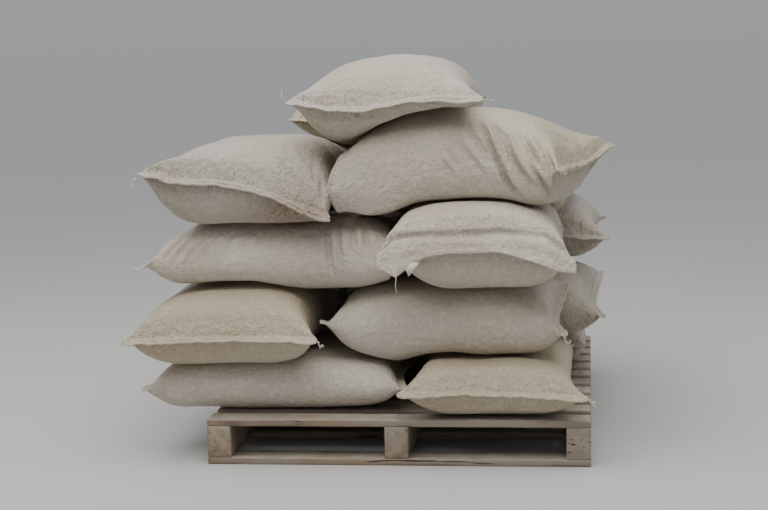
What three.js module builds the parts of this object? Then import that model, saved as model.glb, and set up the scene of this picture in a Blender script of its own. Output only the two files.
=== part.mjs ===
// A wooden pallet loaded with filled woven sacks: four layers of five, laid two one way and three
// the other and turned about from layer to layer, with two more sacks on top.
// Millimetres, +Z up. X runs across the front, Y runs from the front to the back, and the origin is
// the middle of the pallet's underside.
import * as THREE from "three";

// The pallet: a deck of boards on three stringers, with boards under them too.
const PALLET_WIDTH = 1200;
const PALLET_DEPTH = 1600;
const BOARD_WIDTH = 100;
const BOARD_THICKNESS = 22;
const STRINGER_WIDTH = 75;
const STRINGER_HEIGHT = 100;
const DECK_BOARDS = 11;
const BASE_BOARDS = 5;
const DECK_TOP = BOARD_THICKNESS + STRINGER_HEIGHT + BOARD_THICKNESS;

// One sack. An empty one lies 650 wide, and its fill draws the sides in as it lifts the middle.
const FLAT_WIDTH = 650;
const PRESSED_IN = 50;
const LAID_THICKNESS = 225;
const PULL_IN = 0.57;
const HEM_LENGTH = 26;
const HEM_THICKNESS = 7;
const END_RECESS = 38;
const LOWER_SHARE = 0.45;

// How square a sack's sections are: 2 is an ellipse, and more is flatter with tighter rounds.
const SQUARENESS = 4;
const BELLY_SQUARER = 1.4;
const WIDTH_ROUND = 2.8;
const RECESS_ROUND = 4;
const SEAM_REACH = 6;

// How the load stands on the pallet, and how a sack settles on what is under it.
const STACK_X = -50;
const CONTACT_GAP = 0.85;
const SINK = 9;
const SAG = 20;
const SOFTNESS = 130;
const REACH_DOWN = 80;
const OVERHANG_REACH = 4;
const FAR_SHARE = 0.02;
const DROOP = 15;
const LEAST_LEVEL = 20;
const CORE = 0.8;
const CORE_RANK = 0.75;
const LEAST_BODY = 0.36;
const CROWN_ROUND = 24;

// The net that each sack's two faces are built on, and the finer one that their heights are kept on.
const ROWS = 12;
const COLUMNS = 10;
const SAMPLE = 3;
const FIELD_WIDTH = 1920;
const FIELD_DEPTH = 2160;
const CLEARING_PASSES = 160;
const CLEARED = 0.02;

const WOVEN = { color: 0xb9b2a8, roughness: 0.82, metalness: 0 };
const YELLOWED = { color: 0xb3a88f, roughness: 0.84, metalness: 0 };
const WOOD = { color: 0x877560, roughness: 0.85, metalness: 0 };

const part = new THREE.Group();

function addMesh(name, geometry, look) {
  const mesh = new THREE.Mesh(geometry, new THREE.MeshStandardMaterial(look));
  mesh.name = name;
  part.add(mesh);
  return mesh;
}

function addBoard(name, width, depth, height, x, y, base) {
  const mesh = addMesh(name, new THREE.BoxGeometry(width, depth, height), WOOD);
  mesh.position.set(x, y, base + height / 2);
}

// Places count boards evenly from the front edge of the pallet to the back one.
function addBoards(name, count, base) {
  const span = PALLET_DEPTH - BOARD_WIDTH;
  for (let i = 0; i < count; i++) {
    const y = -span / 2 + (span * i) / (count - 1);
    addBoard(`${name}_${i + 1}`, PALLET_WIDTH, BOARD_WIDTH, BOARD_THICKNESS, 0, y, base);
  }
}

function addPallet() {
  addBoards("base_board", BASE_BOARDS, 0);
  const outer = (PALLET_WIDTH - STRINGER_WIDTH) / 2;
  const places = { left: -outer, middle: 0, right: outer };
  for (const [side, x] of Object.entries(places)) {
    addBoard(`stringer_${side}`, STRINGER_WIDTH, PALLET_DEPTH, STRINGER_HEIGHT, x, 0, BOARD_THICKNESS);
  }
  addBoards("deck_board", DECK_BOARDS, BOARD_THICKNESS + STRINGER_HEIGHT);
}

// The height of whatever lies highest, on a fine square net over the pallet.
const field = {
  x0: -FIELD_WIDTH / 2,
  y0: -FIELD_DEPTH / 2,
  nx: Math.ceil(FIELD_WIDTH / SAMPLE),
  ny: Math.ceil(FIELD_DEPTH / SAMPLE),
};
field.height = new Float64Array(field.nx * field.ny);

function fillDeck() {
  const { x0, y0, nx, ny, height } = field;
  for (let iy = 0; iy < ny; iy++) {
    for (let ix = 0; ix < nx; ix++) {
      const onDeck =
        Math.abs(x0 + ix * SAMPLE) <= PALLET_WIDTH / 2 && Math.abs(y0 + iy * SAMPLE) <= PALLET_DEPTH / 2;
      height[iy * nx + ix] = onDeck ? DECK_TOP : 0;
    }
  }
}

// Every net point under a triangle of the sack, with the share that each corner has in it.
function samplesOf(net) {
  const { x0, y0, nx } = field;
  const samples = [];
  for (const [a, b, c] of net.triangles) {
    const [ax, ay, bx, by, cx, cy] = [net.x[a], net.y[a], net.x[b], net.y[b], net.x[c], net.y[c]];
    const area = (bx - ax) * (cy - ay) - (cx - ax) * (by - ay);
    if (Math.abs(area) < 1e-6) continue;
    const firstX = Math.ceil((Math.min(ax, bx, cx) - x0) / SAMPLE);
    const lastX = Math.floor((Math.max(ax, bx, cx) - x0) / SAMPLE);
    const firstY = Math.ceil((Math.min(ay, by, cy) - y0) / SAMPLE);
    const lastY = Math.floor((Math.max(ay, by, cy) - y0) / SAMPLE);
    for (let iy = firstY; iy <= lastY; iy++) {
      for (let ix = firstX; ix <= lastX; ix++) {
        const px = x0 + ix * SAMPLE;
        const py = y0 + iy * SAMPLE;
        const wb = ((px - ax) * (cy - ay) - (cx - ax) * (py - ay)) / area;
        const wc = ((bx - ax) * (py - ay) - (px - ax) * (by - ay)) / area;
        const wa = 1 - wb - wc;
        if (wa < 0 || wb < 0 || wc < 0) continue;
        samples.push({ cell: iy * nx + ix, a, b, c, wa, wb, wc });
      }
    }
  }
  return samples;
}

// A running mean over a square of the given half width, along both axes.
function boxBlur(values, nx, ny, half) {
  const out = new Float64Array(values.length);
  const passes = [
    [values, out, nx, 1, ny, nx],
    [out, values, ny, nx, nx, 1],
  ];
  for (const [from, to, count, stride, lines, lineStride] of passes) {
    for (let line = 0; line < lines; line++) {
      const start = line * lineStride;
      let sum = 0;
      for (let i = -half; i < count; i++) {
        if (i + half < count) sum += from[start + (i + half) * stride];
        if (i - half - 1 >= 0) sum -= from[start + (i - half - 1) * stride];
        if (i >= 0) to[start + i * stride] = sum / (2 * half + 1);
      }
    }
  }
}

// The support under a sack as a full bag feels it: what lies near its level, smoothed, going on
// past the last thing that carries it with a slow droop.
function softSupport(level) {
  const { nx, ny, height } = field;
  const size = height.length;
  const [near, nearShare] = [new Float64Array(size), new Float64Array(size)];
  for (let i = 0; i < size; i++) {
    nearShare[i] = height[i] > level - REACH_DOWN ? 1 : 0;
    near[i] = nearShare[i] * height[i];
  }
  const [wide, wideShare] = [Float64Array.from(near), Float64Array.from(nearShare)];
  const half = Math.round(SOFTNESS / SAMPLE / 2);
  for (let pass = 0; pass < 3; pass++) {
    for (const values of [near, nearShare]) boxBlur(values, nx, ny, half);
    for (const values of [wide, wideShare]) boxBlur(values, nx, ny, half * OVERHANG_REACH);
  }
  return near.map((value, i) => {
    const carried = (value + FAR_SHARE * wide[i]) / (nearShare[i] + FAR_SHARE * wideShare[i] + 1e-9);
    return carried - DROOP * (1 - nearShare[i]) ** 2;
  });
}

function fieldAt(values, x, y) {
  const { x0, y0, nx, ny } = field;
  const fx = Math.min(Math.max((x - x0) / SAMPLE, 0), nx - 1.001);
  const fy = Math.min(Math.max((y - y0) / SAMPLE, 0), ny - 1.001);
  const [ix, iy] = [Math.floor(fx), Math.floor(fy)];
  const [tx, ty] = [fx - ix, fy - iy];
  const row = iy * nx + ix;
  const near = values[row] * (1 - tx) + values[row + 1] * tx;
  const far = values[row + nx] * (1 - tx) + values[row + nx + 1] * tx;
  return near * (1 - ty) + far * ty;
}

// Full in the middle and nothing at the edge. A higher power is flatter, with a tighter round.
function fullness(t, power) {
  return Math.sqrt(Math.max(0, 1 - Math.abs(t) ** power));
}

// Goes from -1 to 1 as i counts, in steps that get finer towards both ends.
function toEdges(i, count) {
  return Math.sin((i / (count - 1) - 0.5) * Math.PI);
}

// The sack seen from above, as a net of rows along it and columns across it. The outer rows are the
// free edges of its two hems, and the rows next to them are the seams.
function planOf(sack) {
  const { from, to, at, thick = LAID_THICKNESS, ears = [0.2, 0.2], hems = [1, 1] } = sack;
  const { skews = [0, 0], swell = 0 } = sack;
  const widest = FLAT_WIDTH - (sack.loose ? 0 : PRESSED_IN);
  const deep = sack.lies === "deep";
  const turn = THREE.MathUtils.degToRad((deep ? 90 : 0) + (sack.turn ?? 0));
  const seams = [from + HEM_LENGTH * hems[0], to - HEM_LENGTH * hems[1]];
  const middle = (seams[0] + seams[1]) / 2;
  const [x, y] = deep ? [at, middle] : [middle, at];
  const net = { x: [], y: [], s: [], q: [], hem: [], edge: [], triangles: [] };
  for (let i = -1; i <= ROWS; i++) {
    const inRow = Math.min(Math.max(i, 0), ROWS - 1);
    const s = toEdges(inRow, ROWS);
    const end = s < 0 ? 0 : 1;
    const drawn = thick * PULL_IN * fullness(s, WIDTH_ROUND);
    const atSeam = Math.abs(s) ** SEAM_REACH;
    const half = (widest - drawn - (1 - ears[end]) * atSeam * thick * PULL_IN) / 2;
    for (let j = 0; j < COLUMNS; j++) {
      const q = toEdges(j, COLUMNS);
      const recess = END_RECESS * (1 - q * q) * Math.abs(s) ** RECESS_ROUND;
      const isHem = inRow !== i;
      const hem = isHem ? HEM_LENGTH * hems[end] : 0;
      const skew = skews[end] * q * atSeam;
      const along = (s * (seams[1] - seams[0])) / 2 + Math.sign(s) * (hem - recess) + skew;
      const across = half * q - swell * (1 - atSeam);
      net.x.push(STACK_X + x + along * Math.cos(turn) - across * Math.sin(turn));
      net.y.push(y + along * Math.sin(turn) + across * Math.cos(turn));
      net.s.push(s);
      net.q.push(q);
      net.hem.push(isHem);
      net.edge.push(j === 0 || j === COLUMNS - 1);
    }
  }
  for (let i = 0; i < ROWS + 1; i++) {
    for (let j = 0; j < COLUMNS - 1; j++) {
      const a = i * COLUMNS + j;
      const b = a + COLUMNS;
      net.triangles.push([a, b, b + 1], [a, b + 1, a + 1]);
    }
  }
  return net;
}

// The highest support within one step of each net point, so that nothing slips in between points.
function raisedSupport() {
  const { nx, ny, height } = field;
  const raised = Float64Array.from(height);
  for (let iy = 1; iy < ny - 1; iy++) {
    for (let ix = 1; ix < nx - 1; ix++) {
      const i = iy * nx + ix;
      for (const row of [i - nx, i, i + nx]) {
        raised[i] = Math.max(raised[i], height[row - 1], height[row], height[row + 1]);
      }
    }
  }
  return raised;
}

// Raises the underside wherever it would reach into what lies below, and no more than that.
function clearSupport(z, samples) {
  const raised = raisedSupport();
  for (let pass = 0; pass < CLEARING_PASSES; pass++) {
    let worst = 0;
    for (const { cell, a, b, c, wa, wb, wc } of samples) {
      const need = raised[cell] + CONTACT_GAP - (wa * z[a] + wb * z[b] + wc * z[c]);
      if (need <= 0) continue;
      const k = need / (wa * wa + wb * wb + wc * wc);
      z[a] += k * wa;
      z[b] += k * wb;
      z[c] += k * wc;
      worst = Math.max(worst, need);
    }
    if (worst < CLEARED) return;
  }
}

// The least height of the underside over what lies below it.
function clearance(z, samples) {
  let least = Infinity;
  for (const { cell, a, b, c, wa, wb, wc } of samples) {
    least = Math.min(least, wa * z[a] + wb * z[b] + wc * z[c] - field.height[cell]);
  }
  return least;
}

// The plane that best follows the values over the net, with each point's weight, and lean as the
// share of its slope that is kept.
function planeThrough(net, values, weights, lean) {
  const sums = { w: 0, x: 0, y: 0, z: 0, xx: 0, xy: 0, yy: 0, xz: 0, yz: 0 };
  for (let i = 0; i < values.length; i++) {
    const [x, y, z, w] = [net.x[i], net.y[i], values[i], weights[i]];
    sums.w += w;
    sums.x += w * x;
    sums.y += w * y;
    sums.z += w * z;
    sums.xx += w * x * x;
    sums.xy += w * x * y;
    sums.yy += w * y * y;
    sums.xz += w * x * z;
    sums.yz += w * y * z;
  }
  const [mx, my, mz] = [sums.x / sums.w, sums.y / sums.w, sums.z / sums.w];
  const xx = sums.xx / sums.w - mx * mx;
  const xy = sums.xy / sums.w - mx * my;
  const yy = sums.yy / sums.w - my * my;
  const xz = sums.xz / sums.w - mx * mz;
  const yz = sums.yz / sums.w - my * mz;
  const divisor = xx * yy - xy * xy;
  const slopeX = (lean * (xz * yy - yz * xy)) / divisor;
  const slopeY = (lean * (yz * xx - xz * xy)) / divisor;
  return values.map((_, i) => mz + slopeX * (net.x[i] - mx) + slopeY * (net.y[i] - my));
}

// The smaller of two heights, with a round turn between them.
function softMin(a, b, round) {
  return (a + b - Math.sqrt((a - b) ** 2 + round * round)) / 2;
}

// Lays one sack on what is there already and returns its net with the heights of both faces. The
// underside follows the support, and the fill levels the upper side out.
function lay(sack) {
  const { thick = LAID_THICKNESS, press = SQUARENESS, tilts = [0, 0], drops = [0, 0], dips = [0, 0] } = sack;
  const { bend = 0.5, lean = 1, seamAt = LOWER_SHARE, sag = SAG, crown } = sack;
  const { blunt = [press, press], belly = press + BELLY_SQUARER, sink = SINK, bows = [0, 0] } = sack;
  const net = planOf(sack);
  const samples = samplesOf(net);
  const middle = samples.filter(({ a }) => Math.abs(net.s[a]) < CORE && Math.abs(net.q[a]) < CORE);
  const heights = middle.map(({ cell }) => field.height[cell]).sort((a, b) => a - b);
  const carrier = heights[Math.floor(heights.length * CORE_RANK)];
  const support = softSupport(carrier);
  const count = net.x.length;
  const under = Float64Array.from({ length: count }, (_, i) => {
    return Math.max(fieldAt(support, net.x[i], net.y[i]), carrier - sag) - sink;
  });
  const ends = under.map((_, i) => blunt[net.s[i] < 0 ? 0 : 1]);
  const below = ends.map((end, i) => fullness(net.s[i], Math.max(end, belly)) * fullness(net.q[i], belly));
  const above = ends.map((end, i) => fullness(net.s[i], end) * fullness(net.q[i], press));
  const plane = planeThrough(net, under, below, lean);
  const level = plane.map((z, i) => z + Math.max(bend * (under[i] - z), -LEAST_LEVEL));
  const lowerHalf = thick * seamAt;
  const seam = level.map((z, i) => {
    const end = net.s[i] < 0 ? 0 : 1;
    const shaped = bows[end] * (1 - net.q[i] ** 2) + tilts[end] * net.q[i] - dips[end];
    return z + lowerHalf + shaped * Math.abs(net.s[i]) ** SEAM_REACH - (net.hem[i] ? drops[end] : 0);
  });
  const bottom = seam.map((z, i) => z + below[i] * (under[i] - z));
  const rest = Float64Array.from(bottom);
  clearSupport(bottom, samples);
  const clear = clearance(bottom, samples);
  bottom.forEach((z, i) => (bottom[i] = z - clear + CONTACT_GAP));
  const weight = below.reduce((sum, w) => sum + w, 0);
  const lift = bottom.reduce((sum, z, i) => sum + below[i] * (z - rest[i]), 0) / weight;
  const top = seam.map((z, i) => {
    if (net.edge[i]) return bottom[i];
    const full = z + below[i] * lift + (thick - lowerHalf) * above[i];
    const pressed = crown ? softMin(full, crown, CROWN_ROUND) : full;
    const least = Math.max(HEM_THICKNESS, LEAST_BODY * thick * above[i]);
    return Math.max(pressed, bottom[i] + least);
  });
  Object.assign(net, { bottom, top });
  for (const { cell, a, b, c, wa, wb, wc } of samples) {
    field.height[cell] = Math.max(field.height[cell], wa * top[a] + wb * top[b] + wc * top[c]);
  }
  return net;
}

// One closed body from the two faces. They share the side edges, and a strip closes each hem.
function sackGeometry(net) {
  const count = net.x.length;
  const points = [];
  for (let i = 0; i < count; i++) points.push(net.x[i], net.y[i], net.top[i]);
  const under = [];
  for (let i = 0; i < count; i++) {
    under.push(net.edge[i] ? i : points.length / 3);
    if (!net.edge[i]) points.push(net.x[i], net.y[i], net.bottom[i]);
  }
  const faces = [];
  for (const [a, b, c] of net.triangles) {
    faces.push(a, b, c);
    faces.push(under[a], under[c], under[b]);
  }
  const lastRow = count - COLUMNS;
  for (let j = 0; j < COLUMNS - 1; j++) {
    for (const [a, b] of [[j, j + 1], [lastRow + j + 1, lastRow + j]]) {
      if (under[a] !== a) faces.push(a, b, under[a]);
      if (under[b] !== b) faces.push(b, under[b], under[a]);
    }
  }
  const geometry = new THREE.BufferGeometry();
  geometry.setAttribute("position", new THREE.Float32BufferAttribute(points, 3));
  geometry.setIndex(faces);
  geometry.computeVertexNormals();
  return geometry;
}

// Where each sack lies, from the bottom up, measured from the middle of the load. A sack lies across
// the front or runs deep: from and to are its two tips, left then right or front then back, at is
// its middle line, and turn is in degrees. A loose one isn't pressed in by neighbours.
//
// What is given in twos is for those two ends, in the same order. Ears is how wide the seam spreads,
// hems the hem's length and drops how far it hangs. Tilts, bows and dips are how far the seam stands
// up on the sack's left, stands up in the middle and lies low. Skews is how far it slants, and blunt
// how square that end is. Swell is how far the body between the seams bulges to the sack's right.
//
// Press is how square the sections are, and belly the same for the underside. Sag is how far the
// underside may follow what is under it down, and sink how deep it settles there. Bend is how closely
// the upper side follows the support, lean the share of its slope that the sack takes, seamAt the
// share of the thickness that lies under the seams, and crown the height that the load above presses
// the sack down to.
const LOAD = [
  {
    name: "sack_1_left_back",
    lies: "across",
    from: -740,
    to: 85,
    at: 488,
    ears: [0.9, 0.1],
    crown: 320,
  },
  {
    name: "sack_1_left_middle",
    lies: "across",
    from: -728,
    to: 90,
    at: 2,
    ears: [0.9, 0.1],
    crown: 320,
  },
  {
    name: "sack_1_left_front",
    lies: "across",
    from: -775,
    to: 85,
    at: -484,
    ears: [0.9, 0.1],
    crown: 320,
  },
  {
    name: "sack_1_right_back",
    lies: "deep",
    from: 5,
    to: 872,
    at: 392,
    ears: [0.1, 0.8],
    crown: 320,
  },
  {
    name: "sack_1_right_front",
    lies: "deep",
    from: -880,
    to: -10,
    at: 352,
    ears: [0.9, 0.1],
    crown: 320,
    yellowed: true,
  },

  {
    name: "sack_2_left_back",
    lies: "deep",
    from: 8,
    to: 880,
    at: -452,
    thick: 245,
    ears: [0.1, 0.8],
    crown: 572,
  },
  {
    name: "sack_2_left_front",
    lies: "deep",
    from: -872,
    to: -8,
    at: -490,
    loose: true,
    thick: 250,
    ears: [0.8, 0.1],
    crown: 572,
    yellowed: true,
    press: 5,
  },
  {
    name: "sack_2_right_back",
    lies: "across",
    from: -195,
    to: 650,
    at: 490,
    thick: 245,
    ears: [0.1, 0.8],
    crown: 572,
  },
  {
    name: "sack_2_right_middle",
    lies: "across",
    from: -185,
    to: 710,
    at: 4,
    thick: 245,
    ears: [0.1, 1],
    crown: 572,
  },
  {
    name: "sack_2_right_front",
    lies: "across",
    from: -205,
    to: 590,
    at: -484,
    thick: 250,
    ears: [0.1, 0.9],
    crown: 572,
  },

  {
    name: "sack_3_left_back",
    lies: "across",
    from: -745,
    to: 80,
    at: 488,
    thick: 235,
    ears: [0.8, 0.1],
    crown: 770,
  },
  {
    name: "sack_3_left_middle",
    lies: "across",
    from: -722,
    to: 92,
    at: 0,
    thick: 235,
    ears: [0.8, 0.1],
    crown: 770,
  },
  {
    name: "sack_3_left_front",
    lies: "across",
    from: -765,
    to: 85,
    at: -486,
    thick: 230,
    ears: [0.8, 0.1],
    crown: 770,
  },
  {
    name: "sack_3_right_back",
    lies: "deep",
    from: -30,
    to: 850,
    at: 432,
    thick: 240,
    ears: [0.8, 0.8],
    crown: 780,
  },
  {
    name: "sack_3_right_front",
    lies: "deep",
    from: -900,
    to: -45,
    at: 308,
    loose: true,
    thick: 270,
    press: 4.4,
    ears: [0.75, 0.1],
    hems: [2, 1],
    drops: [46, 0],
    tilts: [-22, 0],
    seamAt: 0.47,
    crown: 845,
    bows: [50, 0],
    sag: 8,
  },

  {
    name: "sack_4_left_back",
    lies: "deep",
    from: 30,
    to: 900,
    at: -430,
    loose: true,
    thick: 245,
    press: 4,
    ears: [0.1, 0.8],
  },
  {
    name: "sack_4_left_front",
    lies: "deep",
    from: -840,
    to: 20,
    at: -438,
    loose: true,
    thick: 272,
    press: 5,
    swell: 34,
    ears: [0.72, 0.1],
    tilts: [70, 0],
    lean: 0.4,
    bows: [28, 0],
  },
  {
    name: "sack_4_right_back",
    lies: "across",
    from: -150,
    to: 652,
    at: 515,
    turn: -2,
    loose: true,
    thick: 240,
    press: 4,
    ears: [0.1, 0.6],
    sag: 75,
  },
  {
    name: "sack_4_right_middle",
    lies: "across",
    from: -146,
    to: 655,
    at: 38,
    turn: -4,
    loose: true,
    thick: 270,
    press: 4,
    ears: [0.1, 0.6],
    sag: 75,
    yellowed: true,
  },
  {
    name: "sack_4_right_front",
    lies: "across",
    from: -152,
    to: 665,
    at: -516,
    turn: -3,
    loose: true,
    thick: 294,
    press: 4,
    blunt: [7.4, 3.6],
    ears: [0.4, 0.7],
    hems: [0.3, 1],
    dips: [215, 12],
    skews: [0, 70],
    bend: 0.75,
    sag: 85,
  },

  {
    name: "sack_top_back",
    lies: "deep",
    from: 75,
    to: 940,
    at: -160,
    loose: true,
    thick: 255,
    press: 3.4,
    belly: 2.6,
    ears: [0.3, 0.8],
    lean: 0.6,
    sag: 150,
    yellowed: true,
    sink: 18,
  },
  {
    name: "sack_top_front",
    lies: "deep",
    from: -820,
    to: 45,
    at: 34,
    loose: true,
    thick: 274,
    press: 3.4,
    belly: 2.4,
    ears: [0.75, 0.2],
    seamAt: 0.58,
    lean: 0,
    bend: 0.05,
    sag: 150,
    sink: 62,
    bows: [-26, 0],
  },
];

addPallet();
fillDeck();
for (const sack of LOAD) {
  addMesh(sack.name, sackGeometry(lay(sack)), sack.yellowed ? YELLOWED : WOVEN);
}

export default part;
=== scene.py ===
import math
import zlib
from math import pi, radians

import bpy
import numpy as np
from numpy.linalg import norm
from mathutils import Euler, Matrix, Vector
from mathutils.bvhtree import BVHTree


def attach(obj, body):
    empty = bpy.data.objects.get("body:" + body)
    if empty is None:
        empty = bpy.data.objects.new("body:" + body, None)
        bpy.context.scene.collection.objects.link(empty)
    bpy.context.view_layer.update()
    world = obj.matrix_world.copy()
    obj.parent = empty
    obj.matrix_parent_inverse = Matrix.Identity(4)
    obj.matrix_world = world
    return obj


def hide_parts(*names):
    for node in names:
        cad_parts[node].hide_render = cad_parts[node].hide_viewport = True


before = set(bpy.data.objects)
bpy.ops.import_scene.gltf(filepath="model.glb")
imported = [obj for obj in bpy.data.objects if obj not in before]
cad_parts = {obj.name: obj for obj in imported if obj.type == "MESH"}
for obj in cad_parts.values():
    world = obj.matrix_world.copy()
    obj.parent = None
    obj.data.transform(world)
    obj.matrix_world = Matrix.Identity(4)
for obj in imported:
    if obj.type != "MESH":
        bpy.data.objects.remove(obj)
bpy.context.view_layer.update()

# The camera stands where the photograph was taken from, about 4.8 m in front of the load and
# 1.2 m up, and is turned a little towards the load and zoomed in on it.
CAMERA_AT = Vector((0.605, -5.70, 1.22))
CAMERA_AIM = Vector((-0.07, -0.45, 0.62))
CAMERA_LENS = 76
CAMERA_ROLL = radians(1.3)

# A wide lamp overhead, and a sky that brightens from the horizon up to SKY_TOP.
LAMP_AT = Vector((-0.5, -2.0, 4.8))
LAMP_AIM = Vector((0, 0, 0.6))
LAMP_SIZE = (5.5, 4.5)
LAMP_WATTS = 280
LAMP_COLOUR = (1.0, 0.985, 0.955)
SKY_COLOUR = (0.95, 0.965, 1.0, 1)
SKY_STRENGTH = (0.37, 0.80)
SKY_TOP = 0.8
FLOOR_COLOUR = (0.50, 0.49, 0.475, 1)
FLOOR_HALF = 30

SACKS = sorted(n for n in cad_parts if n.startswith("sack"))
BOARDS = sorted(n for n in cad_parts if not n.startswith("sack"))

# The sacks that the front shows whole and in part, and the steps of their nets and of the others'.
TOP, UPPER_LEFT, UPPER_RIGHT = "sack_top_front", "sack_4_left_front", "sack_4_right_front"
LOWER_LEFT, LOWER_RIGHT = "sack_3_left_front", "sack_3_right_front"
WHOLE = {TOP, UPPER_LEFT, UPPER_RIGHT, LOWER_LEFT, LOWER_RIGHT}
PART = {"sack_2_left_front", "sack_2_right_front", "sack_1_left_front", "sack_1_right_front"}
FINE_STEP, MIDDLE_STEP, WIDE_STEP = 0.005, 0.0085, 0.014

# One sack, in metres: the tube of cloth that it is sewn from and the hems at its two ends. A hem is
# a folded band with a stitched groove along its middle and a ridge on either side. Its rows go from
# the free edge to the seam, with each row's share of the hem's length, half thickness and lift.
TUBE_ROUND = 1.3
HEM = 0.026
HEM_ROWS = (
    (0.00, 0.0010, 0.0000), (0.05, 0.0024, 0.0006), (0.15, 0.0030, 0.0016), (0.30, 0.0024, 0.0008),
    (0.46, 0.0011, -0.0014), (0.60, 0.0018, -0.0004), (0.76, 0.0028, 0.0016), (0.90, 0.0026, 0.0009),
)
GROOVE = 4
SEAM_HALF = 0.0016
LONG_HEMS = {LOWER_RIGHT: (2 * HEM, HEM), UPPER_RIGHT: (0.3 * HEM, HEM)}

# How far a sack is turned from its straight place, in degrees.
TURNED = {UPPER_RIGHT: -3, "sack_4_right_middle": -4, "sack_4_right_back": -2}

# How blunt an end is, for the first end and the last, and how far along the sack that reaches.
BLUNT_ENDS = {UPPER_RIGHT: (0.08, 0), LOWER_LEFT: (0, 0.07)}
BLUNT_REACH = 0.06

# The height at which a blunt first end rests on the sacks under it.
RESTS_AT = {UPPER_RIGHT: 0.768}

# How far the far seam of a sack stands higher than in its solid, at the front and at the back.
LIFTED_ENDS = {UPPER_RIGHT: (0.038, 0.024)}

# Where a sack's top stands up to the one on it: the place and reach in x and y, how far at most, the
# height that it stays under, and the x from which it does so.
STANDS_UP = {
    LOWER_LEFT: ((-0.06, -0.60), (0.11, 0.22), 0.024, 0.762, -9),
    LOWER_RIGHT: ((0.20, -0.64), (0.20, 0.22), 0.022, 0.9, 0.02),
}

# How far the hems hang, in degrees, at the front or left end and at the back or right end.
HANG = {
    TOP: (34, 20),
    UPPER_LEFT: (50, 15),
    "sack_2_left_front": (38, 12),
    "sack_1_right_front": (30, 12),
    UPPER_RIGHT: (125, 24),
}
OTHERS_HANG = (14, 10)

# The lines that the seams and one free edge follow, as the front shows them. These and the creases
# are written in millimetres, as x, z, x, z and so on.
SEAM_LINES = {
    TOP: (
        -318, 1133, -284, 1137, -255, 1127, -192, 1111, -82, 1109, 5, 1124, 74, 1140, 137, 1144,
        207, 1137, 288, 1135, 311, 1143,
    ),
    UPPER_LEFT: (
        -792, 921, -775, 924, -723, 917, -677, 898, -545, 895, -430, 870, -361, 845, -292, 815,
        -183, 778, -171, 772,
    ),
    LOWER_RIGHT: (
        -57, 658, -46, 664, 6, 703, 97, 712, 228, 715, 337, 718, 468, 704, 531, 657, 559, 610,
    ),
}
EDGE_LINES = {
    LOWER_RIGHT: (
        -60, 640, -44, 630, 0, 606, 18, 598, 57, 628, 102, 655, 170, 665, 334, 667, 379, 655, 447, 636,
        503, 612, 560, 605,
    ),
}

# The creases that the front shows, each as a depth, a width and then its line.
CREASES = {
    UPPER_RIGHT: (
        (12, 6, 262, 1062, 288, 1025, 310, 972, 334, 925, 360, 872, 398, 822),
        (11, 6, 322, 1045, 350, 1005, 366, 962, 388, 922, 416, 888, 445, 852),
        (9, 7, 392, 1022, 418, 985, 440, 946, 452, 912), (10, 6, 424, 930, 444, 896, 470, 858, 492, 826),
        (8, 7, 455, 996, 478, 955, 498, 904, 510, 856), (6, 6, 196, 1006, 222, 979, 262, 930, 292, 880),
        (6, 5, 225, 1050, 252, 1020, 284, 975, 305, 935),
        (6, 5, 300, 1068, 318, 1035, 340, 985, 352, 950), (6, 6, 338, 905, 360, 866, 388, 828),
        (4, 5, 160, 985, 184, 958, 212, 925), (4, 5, 142, 955, 168, 925, 194, 890),
        (8, 5, 471, 1025, 506, 1007, 541, 977, 564, 948),
        (6, 5, 440, 1045, 490, 1030, 540, 1005, 590, 965),
    ),
    LOWER_RIGHT: (
        (7, 5, -75, 640, -40, 676, 6, 714, 97, 723, 228, 726, 337, 729, 468, 715, 545, 660),
    ),
    UPPER_LEFT: (
        (6, 9, -232, 930, -216, 880, -214, 820), (4, 9, -258, 960, -243, 915, -236, 870),
        (4, 6, -340, 985, -322, 960, -300, 935), (4, 6, -365, 965, -345, 935, -318, 905),
        (4, 6, -330, 925, -308, 900, -285, 868),
    ),
    LOWER_LEFT: (
        (7, 6, -672, 716, -696, 692, -716, 671, -735, 636),
        (6, 6, -636, 716, -660, 692, -681, 668, -696, 634),
        (6, 6, -600, 720, -622, 697, -645, 668, -660, 634),
        (5, 6, -566, 720, -588, 697, -606, 672, -620, 644), (5, 6, -518, 720, -532, 697, -544, 668),
        (4, 6, -468, 720, -472, 697, -478, 672), (5, 5, -428, 718, -436, 694, -434, 668),
        (4, 6, -388, 718, -395, 692, -400, 664), (5, 5, -346, 714, -350, 690, -358, 662),
        (4, 6, -304, 712, -310, 688, -316, 660), (9, 7, -228, 755, -212, 700, -204, 640, -202, 590),
        (8, 6, -194, 755, -181, 700, -174, 640, -172, 600), (7, 7, -146, 750, -131, 700, -126, 655),
        (6, 7, -104, 740, -92, 700, -88, 665),
    ),
}
HEM_FOLDS = {
    LOWER_RIGHT: (
        (-6, 6, -60, 630, -30, 650, 20, 672, 70, 679, 115, 678),
        (-3, 6, 150, 700, 250, 697, 330, 700, 400, 690), (-5, 7, 470, 700, 505, 665, 520, 630),
    ),
}

# The relaxation softens the creases, so this share of their depth goes in again after it.
CREASE_KEPT = 0.7


# Lines, nets and meshes


def seed_of(name):
    return zlib.crc32(name.encode())


def bell(x):
    return np.exp(-(x ** 2))


def unit(vectors):
    return vectors / (norm(vectors, axis=-1, keepdims=True) + 1e-9)


def in_metres(line):
    """The points (x, z) of a line that is written in millimetres as x, z, x, z and so on."""
    return np.array(line).reshape(-1, 2) / 1000


def lengths_along(line):
    return np.hstack([[0], np.cumsum(norm(np.diff(line, axis=0), axis=1))])


def points_at(at, lengths, line):
    return np.column_stack([np.interp(at, lengths, line[:, k]) for k in range(3)])


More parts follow.
